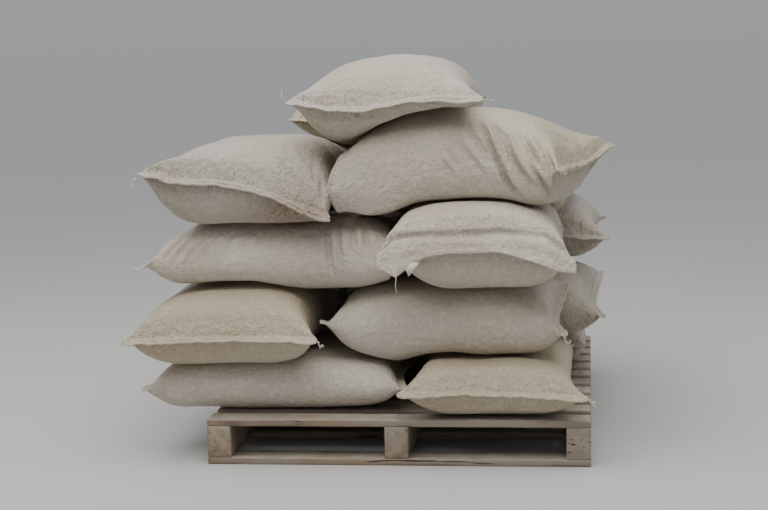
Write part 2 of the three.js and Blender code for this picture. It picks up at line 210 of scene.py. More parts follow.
def smoothed(values, passes, odd, axes=(0, 1)):
    """Blurs a grid. Its edges stay, and odd keeps the slope that the values have there."""
    for _ in range(passes):
        for axis in axes:
            v = np.moveaxis(values, axis, 0)
            first = 2 * v[0] - v[1] if odd else v[1]
            last = 2 * v[-1] - v[-2] if odd else v[-2]
            padded = np.concatenate([first[None], v, last[None]])
            v = 0.25 * padded[:-2] + 0.5 * padded[1:-1] + 0.25 * padded[2:]
            values = np.moveaxis(v, 0, axis)
    return values


def tube_faces(rings, around):
    """The faces of a tube of rings with so many points each, and of its two ends."""
    faces = []
    for i in range(rings - 1):
        for k in range(around):
            a, b = i * around + k, i * around + (k + 1) % around
            faces.append((a, b, b + around, a + around))
    faces.append(tuple(range(around))[::-1])
    faces.append(tuple((rings - 1) * around + k for k in range(around)))
    return faces


def joined_mesh(name, points, faces, parts):
    """A mesh of a piece's points and faces, followed by those of its small parts."""
    points = [points]
    count = len(points[0])
    for part_points, part_faces in parts:
        faces.extend([count + k for k in face] for face in part_faces)
        points.append(part_points)
        count += len(part_points)
    points = np.vstack(points)
    mesh = bpy.data.meshes.new(name)
    mesh.from_pydata(points.tolist(), [], faces)
    mesh.shade_smooth()
    return mesh, points


def set_values(mesh, key, values, kind="FLOAT", field="value"):
    data = mesh.attributes.new(key, kind, "POINT").data
    data.foreach_set(field, values.reshape(-1).astype(np.float32))


def add_object(name, data):
    obj = bpy.data.objects.new(name, data)
    bpy.context.scene.collection.objects.link(obj)
    return obj


# Camera, light and floor


def add_camera():
    data = bpy.data.cameras.new("camera")
    data.lens = CAMERA_LENS
    camera = add_object("camera", data)
    camera.location = CAMERA_AT
    look = (CAMERA_AIM - CAMERA_AT).to_track_quat("-Z", "Y").to_matrix().to_4x4()
    roll = Euler((0, 0, -CAMERA_ROLL)).to_matrix().to_4x4()
    camera.rotation_euler = (look @ roll).to_euler()
    bpy.context.scene.camera = camera


def add_light():
    data = bpy.data.lights.new("overhead", "AREA")
    data.shape = "RECTANGLE"
    data.size, data.size_y = LAMP_SIZE
    data.energy = LAMP_WATTS
    data.color = LAMP_COLOUR
    lamp = add_object("overhead", data)
    lamp.location = LAMP_AT
    lamp.rotation_euler = (LAMP_AIM - LAMP_AT).to_track_quat("-Z", "Y").to_euler()
    world = bpy.data.worlds.new("world")
    bpy.context.scene.world = world
    world.use_nodes = True
    tree = world.node_tree
    look = node(tree, "TexCoord", output="Generated")
    height = node(tree, "SeparateXYZ", {0: look}, 2)
    strength = ranged(tree, height, 0, SKY_TOP, *SKY_STRENGTH)
    fill(tree, tree.nodes["Background"], {"Color": SKY_COLOUR, "Strength": strength})


def add_floor():
    mesh = bpy.data.meshes.new("floor")
    corners = [(x * FLOOR_HALF, y * FLOOR_HALF, 0) for x, y in ((-1, -1), (1, -1), (1, 1), (-1, 1))]
    mesh.from_pydata(corners, [], [(0, 1, 2, 3)])
    material, tree, shader = new_material("floor")
    fill(tree, shader, {"Base Color": FLOOR_COLOUR, "Roughness": 0.8})
    mesh.materials.append(material)
    floor = add_object("floor", mesh)


# The shape of a sack, read from its CAD solid


TREES = {}
BOXES = {}

# A solid's heights are read at a grid of shares along and across it, closer at its sides and a
# little inside its edges, and its outline at so many lines across and along it.
READ_S = np.linspace(0, 1, 140)
READ_T = 0.5 - 0.5 * np.cos(np.linspace(0, pi, 57))
OUTLINE_LINES = (160, 120)
OUTLINE_MARGIN = 1e-4
READ_INSET = 0.004
HEM_ROWS_READ = 4

# How often the readings are blurred in all, and the middle, thickness and edge of the sides.
SMOOTH_PASSES = 14
SIDE_COLUMNS = 8
SIDE_PASSES = (30, 20, 40)

# The share of the sack's length over which the curve of its hem fades out.
HEM_REACH = 0.3

# How far a blunt end comes down at most, and over which shares of the sack's length and width. The
# look at the sacks under it starts RAY_BACK above it, and TOUCH is left between two sacks.
REST_MOST = 0.06
REST_REACH = (0.30, 0.32)
RAY_BACK = 0.03
TOUCH = 0.004
FAR = 9.0

# The close rows at a seam, their zone, the length over which the skin closes, and its rim's shape.
NEAR_SEAM = np.array([0, 0.003, 0.007, 0.012])
SEAM_ZONE = 0.017
SEAM_CLOSES = 0.024
RIM_POWER = 16


def read_solids():
    for name in SACKS + BOARDS:
        points, triangles = solid_arrays(name)
        TREES[name] = BVHTree.FromPolygons(points.tolist(), triangles.tolist())
        BOXES[name] = points.min(axis=0), points.max(axis=0)


def solid_arrays(name):
    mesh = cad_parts[name].data
    mesh.calc_loop_triangles()
    points = np.array([v.co for v in mesh.vertices])
    return points, np.array([t.vertices for t in mesh.loop_triangles])


def crossings(plan, edges, k, stations):
    """The lowest and highest other coordinate where each line plan[k] = station meets the outline."""
    a, b = plan[edges[:, 0]], plan[edges[:, 1]]
    ends = []
    for t in stations:
        hit = (a[:, k] - t) * (b[:, k] - t) <= 0
        d = b[hit] - a[hit]
        share = np.where(np.abs(d[:, k]) > 1e-9, (t - a[hit, k]) / np.where(d[:, k] == 0, 1, d[:, k]), 0)
        other = a[hit, 1 - k] + np.clip(share, 0, 1) * d[:, 1 - k]
        ends.append((other.min(), other.max()))
    return np.array(ends).T


class Outline:
    """A sack's plan, as a patch between its two hem edges (s = 0 and 1) and its sides (t = 0 and 1)."""

    def __init__(self, name):
        points, triangles = solid_arrays(name)
        size = BOXES[name][1] - BOXES[name][0]
        angle = (pi / 2 if size[1] > size[0] else 0) + radians(TURNED.get(name, 0))
        cos, sin = math.cos(angle), math.sin(angle)
        self.turn = np.array([[cos, sin], [-sin, cos]])
        plan = points[:, :2] @ self.turn.T
        edges = np.vstack([triangles[:, [0, 1]], triangles[:, [1, 2]], triangles[:, [2, 0]]])
        self.corner = {}
        for s, t in ((0, 0), (0, 1), (1, 0), (1, 1)):
            self.corner[s, t] = plan[np.argmax(plan @ np.array([2 * s - 1, 2 * t - 1]))]
        low, high = plan.min(axis=0), plan.max(axis=0)
        self.u, self.v = (
            np.linspace(low[k] + OUTLINE_MARGIN, high[k] - OUTLINE_MARGIN, OUTLINE_LINES[k]) for k in (0, 1)
        )
        self.side = crossings(plan, edges, 0, self.u)
        self.hem = crossings(plan, edges, 1, self.v)
        self.length = high[0] - low[0]

    def along(self, s, t):
        """Where each row lies along the sack. The curve of its hems fades out towards its middle."""
        c = self.corner
        u = 0
        inner = np.clip(t, 0.01, 0.99)
        for k in (0, 1):
            v = c[k, 0][1] * (1 - inner) + c[k, 1][1] * inner
            line = c[k, 0][0] * (1 - t) + c[k, 1][0] * t
            curve = (np.interp(v, self.v, self.hem[k]) - line) * (inner == t)
            near, other = (1 - s, s) if k else (s, 1 - s)
            u = u + other * line + np.clip(1 - near / HEM_REACH, 0, 1) ** 2 * curve
        return u

    def at(self, s, t):
        """Plan points for arrays s (rows) and t (columns), as an array of rows x columns x 2."""
        s, t = s[:, None], t[None, :]
        v = 0
        for k in (0, 1):
            side = np.interp(self.along(s, np.full((1, 1), float(k))), self.u, self.side[k])
            v = v + (t if k else 1 - t) * side
        return np.stack([self.along(s, t), v], axis=-1) @ self.turn


def round_sides(middle, square):
    """Rounds the two sides of a sack, where its solid is steep and faceted, in place."""
    n = SIDE_COLUMNS
    share = (READ_T[:n] / READ_T[n])[None]
    for line, height in ((middle, square), (middle[:, ::-1], square[:, ::-1])):
        line[:, : 2 * n] = smoothed(line[:, : 2 * n], SIDE_PASSES[0], odd=True, axes=(0,))
        height[:, : 2 * n] = smoothed(height[:, : 2 * n], SIDE_PASSES[1], odd=True, axes=(0,))
        edge = smoothed(line[:, n // 2 : n // 2 + 1], SIDE_PASSES[2], odd=True, axes=(0,))
        line[:, :n] = edge + (line[:, n : n + 1] - edge) * share ** 0.5
        height[:, :n] = height[:, n : n + 1] * share


def gap_to_other(name, place, way, back):
    """How far up (way 1) or down (way -1) another sack lies. The look starts that far back."""
    gap = FAR
    for other in SACKS:
        low, high = BOXES[other]
        if other == name or not (low[0] < place.x < high[0] and low[1] < place.y < high[1]):
            continue
        hit = TREES[other].ray_cast(place - Vector((0, 0, way * back)), Vector((0, 0, way)))[0]
        if hit is not None:
            gap = min(gap, way * (hit.z - place.z))
    return gap


def stand_up(name, net, normal):
    """Raises the top of a sack to meet the one that lies on it, in place."""
    (x, y), (reach_x, reach_y), most, ceiling, start = STANDS_UP[name]
    share = np.exp(-(((net[..., 0] - x) / reach_x) ** 2) - ((net[..., 1] - y) / reach_y) ** 2)
    share *= np.clip(2 * normal[..., 2], 0, 1)
    rise = np.zeros(share.shape)
    for i, j in np.argwhere(share > 0.04):
        place = Vector(net[i, j])
        gap = gap_to_other(name, place, 1, 0)
        room = (gap - TOUCH) * 0.9 * min(max((place.x - start) / 0.16, 0), 1)
        rise[i, j] = max(min(most * share[i, j], room, ceiling - place.z), 0)
    net[..., 2] += smoothed(rise, 8, odd=False)


def rest_end(name, plan, middle, square):
    """Lets the front of a sack's first end sink onto the sacks under it, in place."""
    reach_s, reach_t = REST_REACH
    share = (1 / (1 + (READ_S / reach_s) ** 8))[:, None] * bell(READ_T / reach_t)[None]
    half = np.sqrt(np.clip(square, 0, None))
    drop = np.zeros(middle.shape)
    for i, j in np.argwhere(share > 0.03):
        under = middle[i, j] - half[i, j]
        gap = gap_to_other(name, Vector((*plan[i, j], under)), -1, RAY_BACK)
        gap = min(gap, under - RESTS_AT[name])
        drop[i, j] = share[i, j] * min(max(gap - TOUCH, 0), REST_MOST)
    drop = smoothed(drop, 6, odd=False)
    middle -= drop / 2
    square[:] = (half + drop / 2) ** 2


def read_heights(name, outline):
    """The middle height and half thickness of a solid over its plan, with the facets smoothed out."""
    tree = TREES[name]
    plan = outline.at(*(READ_INSET + (1 - 2 * READ_INSET) * share for share in (READ_S, READ_T)))
    top, bottom = np.empty(plan.shape[:2]), np.empty(plan.shape[:2])
    for i, j in np.ndindex(top.shape):
        x, y = plan[i, j]
        hit = tree.ray_cast(Vector((x, y, 4)), Vector((0, 0, -1)))[0]
        under = tree.ray_cast(Vector((x, y, -1)), Vector((0, 0, 1)))[0]
        if hit is None or under is None:
            hit = under = tree.find_nearest(Vector((x, y, top[i, j - 1] if j else 0.5)))[0]
        top[i, j], bottom[i, j] = hit.z, under.z
    if name in RESTS_AT:
        top[:HEM_ROWS_READ] = top[HEM_ROWS_READ]
        bottom[:HEM_ROWS_READ] = bottom[HEM_ROWS_READ]
    middle = smoothed((top + bottom) / 2, SMOOTH_PASSES, odd=False)
    square = smoothed(((top - bottom) / 2) ** 2, SMOOTH_PASSES, odd=True)
    if name in RESTS_AT:
        rest_end(name, plan, middle, square)
    round_sides(middle, square)
    return middle, np.sqrt(np.clip(square, 0, None))


def rows_by_length(outline, middle, half, hem, step):
    """Where the net's rows lie along the sack: the hems' rows, then even steps between the seams."""
    total = 0
    for column, t in ((middle.shape[1] // 2, 0.5), (3, 0.02)):
        plan = outline.at(READ_S, np.array([t]))[:, 0]
        z = middle[:, column] + half[:, column]
        total = total + lengths_along(np.column_stack([plan, z])) / 2
    seam = [hem[0] / outline.length, 1 - hem[1] / outline.length]
    start, stop = np.interp(seam, READ_S, total)
    count = int(round((stop - start - 2 * SEAM_ZONE) / step))
    inner = np.linspace(start + SEAM_ZONE, stop - SEAM_ZONE, count)
    lengths = np.hstack([start + NEAR_SEAM, inner, stop - NEAR_SEAM[::-1]])
    body = np.interp(lengths, total, READ_S)
    shares = np.array(HEM_ROWS)[:, 0]
    return np.hstack([seam[0] * shares, body, 1 - (1 - seam[1]) * shares[::-1]])


def resampled(loop, count):
    closed = np.vstack([loop, loop[:1]])
    length = lengths_along(closed)
    return points_at(np.arange(count) / count * length[-1], length, closed)


def target_net(name, outline, hem, step, around):
    """The sack's skin as a net of rows along it by points around it, and the rows of its two seams."""
    grids = read_heights(name, outline)
    rows = rows_by_length(outline, *grids, hem, step)
    plan = outline.at(rows, READ_T)
    first, last = len(HEM_ROWS), len(rows) - 1 - len(HEM_ROWS)
    lips = np.array(HEM_ROWS)[:, 1]
    flat = np.hstack([lips, np.full(last - first + 1, SEAM_HALF), lips[::-1]])
    rim = np.sqrt(np.clip(1 - np.abs(2 * READ_T - 1) ** RIM_POWER, 0, 1))
    net = np.empty((len(rows), around, 3))
    blunt = BLUNT_ENDS.get(name, (0, 0))
    inward = blunt[0] * np.exp(-rows / BLUNT_REACH) - blunt[1] * np.exp(-(1 - rows) / BLUNT_REACH)
    for i, row in enumerate(rows + inward):
        m, h = (np.array([np.interp(row, READ_S, column) for column in grid.T]) for grid in grids)
        if i <= first or i >= last:
            h = flat[i] * rim
        else:
            to_seam = min(rows[i] - rows[first], rows[last] - rows[i]) * outline.length
            h = np.maximum(h * min(1, to_seam / SEAM_CLOSES) ** 0.6, SEAM_HALF * rim)
        upper = np.column_stack([plan[i], m + h])
        lower = np.column_stack([plan[i], m - h])[::-1]
        net[i] = resampled(np.vstack([upper, lower[1:-1]]), around)
    return net, first, last


def net_normals(net):
    along = np.gradient(net, axis=0)
    around = (np.roll(net, -1, axis=1) - np.roll(net, 1, axis=1)) / 2
    normal = np.cross(along, around)
    return normal / (norm(normal, axis=2, keepdims=True) + 1e-12)


# The woven cloth: what makes it crease


# The cloth's dents, crumple and gathers, each as a height and its size along and around the sack.
DENTS = (0.0050, 0.15, 0.13)
CRUMPLE = (0.0020, 0.05, 0.045)
FINE_CRUMPLE = (0.0016, 0.020, 0.016)
GATHERS = (0.0046, 0.10, 0.013)
GATHER_REACH = 0.055

# How far the cloth may relax inward and outward, and at a seam, how strongly it resists stretch,
# squeeze, shear and bend, and how much of its moves it keeps in a pass.
PASSES = 60
INWARD, OUTWARD, SEAM_FREE = 0.007, 0.008, 0.0006
STRETCH, SQUEEZE, SHEAR, BEND = 0.9, 0.6, 0.12, 0.25
KEPT_OUT, KEPT_SLIDE = 0.985, 0.98

# How far another piece is looked for.
ROOM_SEEN = 0.022

# A crease's ridge, on its groove's upper side: its height, place and width in the groove's own.
RIDGE, RIDGE_AT, RIDGE_WIDE = 0.55, 2.2, 1.5

# How far a moved seam pulls the cloth, how far it may move, and how the hems' tips draw in.
SEAM_PULLS, END_PULLS = 0.06, 0.075
SEAM_MOVES = 0.03
TIP_SHARE = 0.5
TIP_REACH = 0.07
HEM_WAVES = (2, 3, 5, 8, 13, 21)


def uneven(kind, shape, step, seed, share=1):
    """Smooth noise over a net of this shape and step."""
    height, *sizes = kind
    rng = np.random.default_rng(seed)
    cells = [size * (1 / step) for size in sizes]
    counts = int(shape[0] / cells[0]) + 3, int(round(shape[1] / cells[1]))
    coarse = rng.uniform(-1, 1, [max(3, count) for count in counts])
    coarse = np.concatenate([coarse, coarse[:, :1]], axis=1)
    rows = np.linspace(0, coarse.shape[0] - 1.001, shape[0])
    columns = np.linspace(0, coarse.shape[1] - 1, shape[1], endpoint=False)
    i, j = rows.astype(int), columns.astype(int)
    a, b = rows - i, columns - j
    a, b = (a * a * (3 - 2 * a))[:, None], (b * b * (3 - 2 * b))[None]
    near = coarse[i][:, j] * (1 - b) + coarse[i][:, j + 1] * b
    far = coarse[i + 1][:, j] * (1 - b) + coarse[i + 1][:, j + 1] * b
    return height * share * (near * (1 - a) + far * a)


def pull(x, y, rest, stretch, squeeze):
    """Moves two equal sets of points towards their rest distance, in place."""
    d = y - x
    length = norm(d, axis=-1, keepdims=True) + 1e-12
    off = length - rest[..., None]
    move = d / length * off * np.where(off > 0, stretch, squeeze) / 2
    x += move
    y -= move


def pull_rows(net, rest, side, stretch, squeeze):
    """Pulls each row and the next, with its columns shifted by side, towards their rest distance."""
    for start in (0, 1):
        b = np.roll(net[start + 1::2], -side, axis=1)
        a = net[start:-1:2][: len(b)]
        pull(a, b, rest[start::2][: len(b)], stretch, squeeze)
        net[start + 1::2] = np.roll(b, side, axis=1)


def relax(net, target, normal, rest, limits):
    """Lets the cloth find its creases: it keeps its woven lengths and stays near the fill's skin."""
    along, around = rest
    inward, outward = limits
    diagonal = np.sqrt(along ** 2 + around[:-1] ** 2)
    for _ in range(PASSES):
        pull_rows(net, along, 0, STRETCH, SQUEEZE)
        for start in (0, 1):
            net = np.roll(net, -start, axis=1)
            pull(net[:, 0::2], net[:, 1::2], np.roll(around, -start, axis=1)[:, 0::2], STRETCH, SQUEEZE)
            net = np.roll(net, start, axis=1)
        pull_rows(net, diagonal, 1, SHEAR, SHEAR)
        pull_rows(net, diagonal, -1, SHEAR, SHEAR)
        bent = net - (np.roll(net, 1, axis=1) + np.roll(net, -1, axis=1)) / 2
        bent -= (np.roll(bent, 1, axis=1) + np.roll(bent, -1, axis=1)) / 2
        net = net - BEND * bent
        bent = np.zeros_like(net)
        bent[1:-1] = net[1:-1] - (net[:-2] + net[2:]) / 2
        spread = bent.copy()
        spread[1:-1] -= (bent[:-2] + bent[2:]) / 2
        net = net - BEND * spread
        off = net - target
        out = np.sum(off * normal, axis=2, keepdims=True)
        slide = off - out * normal
        net = target + slide * KEPT_SLIDE + np.clip(out * KEPT_OUT, -inward, outward) * normal
    return net


def skin_mesh(name, net, values, parts):
    """A mesh of the net and its threads, with cloth coordinates in metres and the given values."""
    rows, columns = net.shape[:2]
    index = np.arange(rows * columns).reshape(rows, columns)
    a, b = index[:-1], index[1:]
    quads = np.stack([a, np.roll(a, -1, axis=1), np.roll(b, -1, axis=1), b], axis=-1).reshape(-1, 4)
    faces = quads.tolist()
    for row, way in ((0, -1), (rows - 1, 1)):
        for j in range(columns // 2):
            quad = [row * columns + k % columns for k in (j, j + 1, columns - j - 1, columns - j)]
            faces.append(list(dict.fromkeys(quad))[::way])
    mesh, points = joined_mesh(name, net.reshape(-1, 3), faces, parts)
    spare = np.zeros(len(points) - rows * columns)
    along = lengths_along(net[:, columns // 4])
    around = np.arange(columns) * TUBE_ROUND / columns
    loops = [point for face in faces for point in face]
    uv = np.column_stack([
        np.hstack([np.tile(around, rows), spare])[loops],
        np.hstack([np.repeat(along, columns), spare])[loops],
    ])
    corner_u = uv[: len(quads) * 4, 0].reshape(-1, 4)
    wraps = np.ptp(corner_u, axis=1, keepdims=True) > TUBE_ROUND / 2
    corner_u += TUBE_ROUND * (wraps & (corner_u < TUBE_ROUND / 2))
    layer = mesh.uv_layers.new(name="Cloth")
    layer.data.foreach_set("uv", uv.reshape(-1))
    for key, value in dict(values, thread=np.zeros(rows * columns)).items():
        filler = spare + (1 if key in ("thread", "tone") else 0)
        set_values(mesh, key, np.hstack([value.reshape(-1), filler]))
    return add_object(name, mesh)


def room_around(name, net):
    """How far each point of a net is from the nearest other piece, up to ROOM_SEEN."""
    places = net[::2, ::2]
    room = np.full(places.shape[:2], ROOM_SEEN)
    for other in sorted(set(TREES) - {name}):
        low, high = BOXES[other]
        near = np.all((places > low - ROOM_SEEN) & (places < high + ROOM_SEEN), axis=2)
        for i, j in np.argwhere(near):
            distance = TREES[other].find_nearest(Vector(places[i, j]), ROOM_SEEN)[3]
            room[i, j] = min(room[i, j], ROOM_SEEN if distance is None else distance)
    rows, columns = net.shape[:2]
    return room.repeat(2, axis=0).repeat(2, axis=1)[:rows, :columns]


def distance_to_line(x, z, line):
    """How far points are from a line of points, how far along it as a share, and on which side."""
    best = np.full(x.shape, 9.0)
    share = np.zeros(x.shape)
    side = np.ones(x.shape)
    for k, ((ax, az), (bx, bz)) in enumerate(zip(line, line[1:])):
        dx, dz = bx - ax, bz - az
        t = np.clip(((x - ax) * dx + (z - az) * dz) / (dx * dx + dz * dz), 0, 1)
        d = np.hypot(x - ax - t * dx, z - az - t * dz)
        nearer = d < best
        share = np.where(nearer, (k + t) / (len(line) - 1), share)
        side = np.where(nearer, np.sign(dx * (z - az) - dz * (x - ax)), side)
        best = np.minimum(best, d)
    return best, share, side


def creases(net, normal, lines):
    """How far each point of the net moves out for the creases in the side that faces the front."""
    depth = np.zeros(net.shape[:2])
    facing = np.clip(-normal[..., 1] * 2, 0, 1)
    for deep, wide, *line in lines:
        deep, wide = deep / 1000, wide / 1000
        d, share, side = distance_to_line(net[..., 0], net[..., 2], in_metres(line))
        fade = np.sin(pi * np.clip(share, 0, 1)) ** 0.7
        depth -= deep * fade * bell(d / wide)
        depth += RIDGE * deep * fade * bell((d * side - RIDGE_AT * wide) / (RIDGE_WIDE * wide))
    return depth * facing


def mirrored(columns):
    """For each column of a net, the one that lies under or over it."""
    return -np.arange(columns) % columns


def centre_line(row):
    """The line midway between the top and the underside of a row of the net."""
    return (row + row[mirrored(len(row))]) / 2


def move_seam(net, seam, hem, other_hem, rise, reach):
    """Moves a seam and its hem up or down, and the cloth beside it with it."""
    away = norm(net - net[seam][None], axis=2)
    away[hem] = 0
    away[other_hem] = FAR
    net[..., 2] += rise[None] * bell(away / reach)


def follow(net, first, last, line):
    middle = centre_line(net[first])
    x, z = in_metres(line).T
    rise = np.clip(np.interp(middle[:, 0], x, z) - middle[:, 2], -SEAM_MOVES, SEAM_MOVES)
    move_seam(net, first, slice(first + 1), slice(last, None), rise, SEAM_PULLS)


def lift_end(net, first, last, lifts):
    """Raises the far seam, by one height at the front and one at the back."""
    y = net[last][:, 1]
    rise = np.interp(y, (y.min(), y.max()), lifts)
    move_seam(net, last, slice(last, None), slice(first + 1), rise, END_PULLS)


def hang(net, first, last, name):
    """Turns each hem down about its seam, by an angle that varies along it, and raises its ridges."""
    columns = net.shape[1]
    t = np.minimum(np.arange(columns), mirrored(columns)) / (columns // 2)
    rng = np.random.default_rng(seed_of(name) + 7)
    for end, rows, edge in ((0, range(first), first), (1, range(last + 1, len(net)), last)):
        turn = np.full(columns, radians(HANG.get(name, OTHERS_HANG)[end]))
        for count in HEM_WAVES:
            size = radians(rng.uniform(4, 11)) / count ** 0.25
            turn += size * np.sin(pi * count * t + rng.uniform(0, 2 * pi))
        base = centre_line(net[edge])
        from_tip = np.clip(np.minimum(t, 1 - t) / TIP_REACH, 0, 1)
        stretch = TIP_SHARE + (1 - TIP_SHARE) * np.sin(from_tip * pi / 2)
        if end == 0 and name in EDGE_LINES:
            outer = centre_line(net[0]) - base
            length = norm(outer, axis=1)
            x, z = in_metres(EDGE_LINES[name]).T
            drop = base[:, 2] - np.interp(base[:, 0], x, z)
            stretch = np.maximum(TIP_SHARE, drop / length / 0.96)
            slope = np.arcsin(np.clip(drop / (length * stretch), -1, 0.97))
            now = np.arctan2(-outer[:, 2], np.hypot(outer[:, 0], outer[:, 1]))
            turn = slope - now + 0.35 * (turn - turn.mean())
        for i in rows:
            centre = centre_line(net[i])
            side = np.sign(net[i, :, 2] - centre[:, 2])
            thick = norm(net[i] - centre, axis=1)
            out = centre - base
            flat = np.hypot(out[:, 0], out[:, 1])
            level = np.column_stack([out[:, :2] / (flat[:, None] + 1e-9), np.zeros(columns)])
            slope = np.arctan2(out[:, 2], flat) - turn
            cos, sin = np.cos(slope)[:, None], np.sin(slope)[:, None]
            ahead = level * cos + [0, 0, 1] * sin
            normal = [0, 0, 1] * cos - level * sin
            ridge = HEM_ROWS[i if end == 0 else len(net) - 1 - i][2]
            reach = (norm(out, axis=1) * stretch)[:, None]
            rise = (ridge * np.sin(pi * np.clip(t * 8, 0, 0.5)) + side * thick)[:, None]
            net[i] = base + ahead * reach + normal * rise


def make_skin(name):
    """The sack's cloth: its net, and values for the material at each point."""
    outline = Outline(name)
    step = FINE_STEP if name in WHOLE else MIDDLE_STEP if name in PART else WIDE_STEP
    columns = 2 * int(round(TUBE_ROUND / step / 2))
    target, first, last = target_net(name, outline, LONG_HEMS.get(name, (HEM, HEM)), step, columns)
    if name in SEAM_LINES:
        follow(target, first, last, SEAM_LINES[name])
    if name in LIFTED_ENDS:
        lift_end(target, first, last, LIFTED_ENDS[name])
    normal = net_normals(target)
    if name in STANDS_UP:
        stand_up(name, target, normal)
    shape = target.shape[:2]
    seed = seed_of(name)
    row = np.arange(shape[0])
    from_seam = np.clip(np.minimum(row - first, last - row), 0, None) * step
    in_body = ((row > first) & (row < last))[:, None]
    ease = np.clip(from_seam / 0.02, 0.3, 1)[:, None] * in_body
    room = room_around(name, target)
    dents = uneven(DENTS, shape, step, seed + 3) - 0.0015
    target = target + (np.minimum(dents * ease, 0.3 * room))[..., None] * normal
    carved = creases(target, normal, CREASES.get(name, ()))
    target = target + carved[..., None] * normal

    along = norm(np.diff(target, axis=0), axis=2)
    around = norm(np.roll(target, -1, axis=1) - target, axis=2)
    longest = along[first:last].sum(axis=0)
    along = along * (1 + (np.clip(longest.max() / longest - 1, 0, 0.05) * 0.7 + 0.010))[None]
    around = around * (1 + np.clip(TUBE_ROUND / around.sum(axis=1) - 1, 0.003, 0.008))[:, None]
    gather = np.exp(-from_seam / GATHER_REACH)[:, None] * in_body
    start = uneven(CRUMPLE, shape, step, seed) + uneven(FINE_CRUMPLE, shape, step, seed + 1)
    start += uneven(GATHERS, shape, step, seed + 2, gather)
    net = target + (start * in_body)[..., None] * normal
    inward = (INWARD * ease + SEAM_FREE)[..., None]
    outward = np.minimum(OUTWARD * ease + SEAM_FREE, 0.5 * room)[..., None]
    net = relax(net, target, normal, (along, around), (inward, outward))

    moved = np.sum((net - target) * normal, axis=2)
    ripple = moved - smoothed(moved, 6, odd=False)
    slack = smoothed(np.abs(ripple), 6, odd=False) / 0.0012
    net = net + (CREASE_KEPT * carved)[..., None] * normal
    hang(net, first, last, name)
    normal = net_normals(net)
    net = net + creases(net, normal, HEM_FOLDS.get(name, ()))[..., None] * normal
    values = {
        "slack": np.clip(0.2 + slack + 0.5 * gather, 0, 1),
        "gather": gather * np.ones(shape),
        # This value is painted shade: it darkens the cloth where its ripples sink in and along the carved
        # creases.
        "painted_crease_shade": np.clip(-ripple / 0.0035 - carved / 0.018, 0, 1) * in_body,
    }
    return net, values


# Sewing thread


STITCH_PITCH = 0.012
STITCH_LENGTH = 0.0085
STITCH_HALF = 0.0010
STITCH_SUNK = -0.0003
STITCH_RISE = 0.0011
STITCH_FACES = [(0, 1, 2), (3, 5, 4), (0, 2, 5, 3), (1, 4, 5, 2), (0, 3, 4, 1)]
CORD_SIDES = 6
ANY_WAY = (0.31, 0.17, 0.93)

# The loose ends of thread: the first or last hem (0 or 1), its first or last tip, and their reach.
TAILS = {
    TOP: ((0, 1, (-0.012, -0.010, 0.032)), (0, 0, (0.020, -0.012, 0.010))),
    UPPER_LEFT: ((0, 1, (-0.010, -0.016, -0.024)),),
    "sack_2_left_front": ((0, 1, (-0.014, -0.012, -0.030)), (0, 0, (0.012, -0.012, -0.026))),
    "sack_1_right_front": ((0, 0, (0.014, -0.012, -0.018)),),
    LOWER_LEFT: ((0, 0, (-0.022, -0.010, -0.020)),),
    "sack_2_right_front": ((1, 0, (0.014, -0.012, -0.028)),),
}
TAIL_RADIUS = 0.0014
TAIL_CURL = 0.009

# The thread and the torn scrap of cloth that hang from the lower right sack: the thread's path and
# radius, and the scrap's place x, half width and length.
HANGING_THREAD = (
    (0.021, -0.893, 0.612), (0.022, -0.893, 0.595), (0.019, -0.892, 0.580), (0.022, -0.892, 0.556),
)
HANGING_RADIUS = 0.0011
SCRAP = (0.064, 0.025, 0.032)


def add_stitches(net, parts):
    """Short stitches in the groove of each hem, above and below."""
    columns = net.shape[1]
    half = columns // 2
    for row in (net[GROOVE], net[-1 - GROOVE]):
        outward = unit(row - centre_line(row))
        for line in (np.arange(3, half - 2), np.arange(half + 3, columns - 2)):
            length = lengths_along(row[line])
            starts = np.arange(0.006, length[-1] - 0.012, STITCH_PITCH)
            a, n = points_at(starts, length, row[line]), points_at(starts, length, outward[line])
            b = points_at(starts + STITCH_LENGTH, length, row[line])
            side = np.cross(b - a, n)
            side *= STITCH_HALF / (norm(side, axis=1, keepdims=True) + 1e-9)
            low, high = STITCH_SUNK * n, STITCH_RISE * n
            near = [a + side + low, a - side + low, a + high]
            far = [b + side + low, b - side + low, b + high]
            for block in np.stack(near + far, axis=1):
                parts.append((block, STITCH_FACES))


def add_cord(path, radius, parts):
    path = np.array(path, dtype=float)
    ahead = unit(np.gradient(path, axis=0))
    across = unit(np.cross(ahead, ANY_WAY))
    up = np.cross(across, ahead)
    angles = (np.arange(CORD_SIDES) * 2 * pi / CORD_SIDES)[:, None]
    rings = path[:, None] + radius * (across[:, None] * np.cos(angles) + up[:, None] * np.sin(angles))
    parts.append((rings.reshape(-1, 3), tube_faces(len(path), CORD_SIDES)))


def add_tail(at, reach, rng, parts):
    """A loose end of thread that curls away from a hem's tip."""
    steps = np.linspace(0, 1, 18)[:, None]
    curl = rng.uniform(0, 2 * pi)
    turns = rng.uniform(1.2, 2.4) * 2 * pi * steps
    loop = TAIL_CURL * steps * np.hstack([np.cos(turns + curl), 0.6 * np.sin(turns), np.sin(turns + curl)])
    start = TAIL_CURL * np.array([[math.cos(curl), 0, math.sin(curl)]]) * steps
    add_cord(np.array(at) + np.array(reach) * steps + loop - start, TAIL_RADIUS, parts)


def add_scrap(net, parts):
    place, half, length = SCRAP
    x, y, z = net[0][np.abs(net[0][:, 0] - place).argmin()]
    front = np.array([
        (x - half, y, z + 0.006), (x + half, y, z + 0.010), (x - 0.3 * half, y - 0.014, z - length),
    ])
    back = front + [0, 0.0016, 0]
    faces = [(0, 2, 1), (3, 4, 5), (0, 1, 4, 3), (1, 2, 5, 4), (2, 0, 3, 5)]
    parts.append((np.vstack([front, back]), faces))


